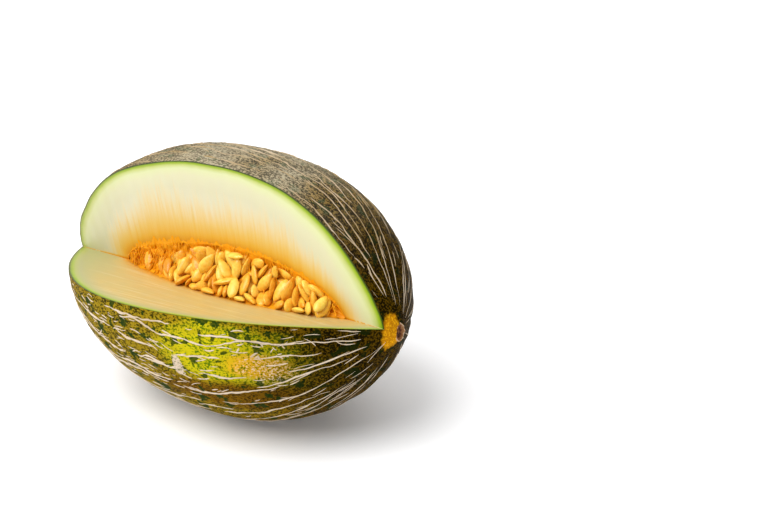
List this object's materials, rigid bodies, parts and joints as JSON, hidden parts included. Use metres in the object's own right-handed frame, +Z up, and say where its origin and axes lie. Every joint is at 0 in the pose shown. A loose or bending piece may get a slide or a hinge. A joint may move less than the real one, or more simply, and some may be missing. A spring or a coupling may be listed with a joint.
{
  "type": "cut piel de sapo melon",
  "caption": "Oval green melon with a corky net on its rind, lying on its side, one lengthwise wedge cut out so that pale flesh, orange pulp and seeds show.",
  "frame": {"origin": "middle of the flat spot that the melon rests on", "axes": "+X along the melon's axis from the stalk to the blossom scar, -Y the side that the wedge opens to, +Z up"},
  "size_m": [0.2415, 0.1478, 0.1421],
  "materials": {
    "rind": "waxy dark green rind, mottled, with a raised corky net",
    "flesh": "moist knife-cut flesh, green at the rim and cream inside",
    "cork": "dry pale cork",
    "pulp": "wet orange fibres",
    "seed": "smooth and wet"
  },
  "bodies": {
    "root": {"melon": "rind", "pulp": "pulp", "seeds": "seed"}
  },
  "joints": []
}
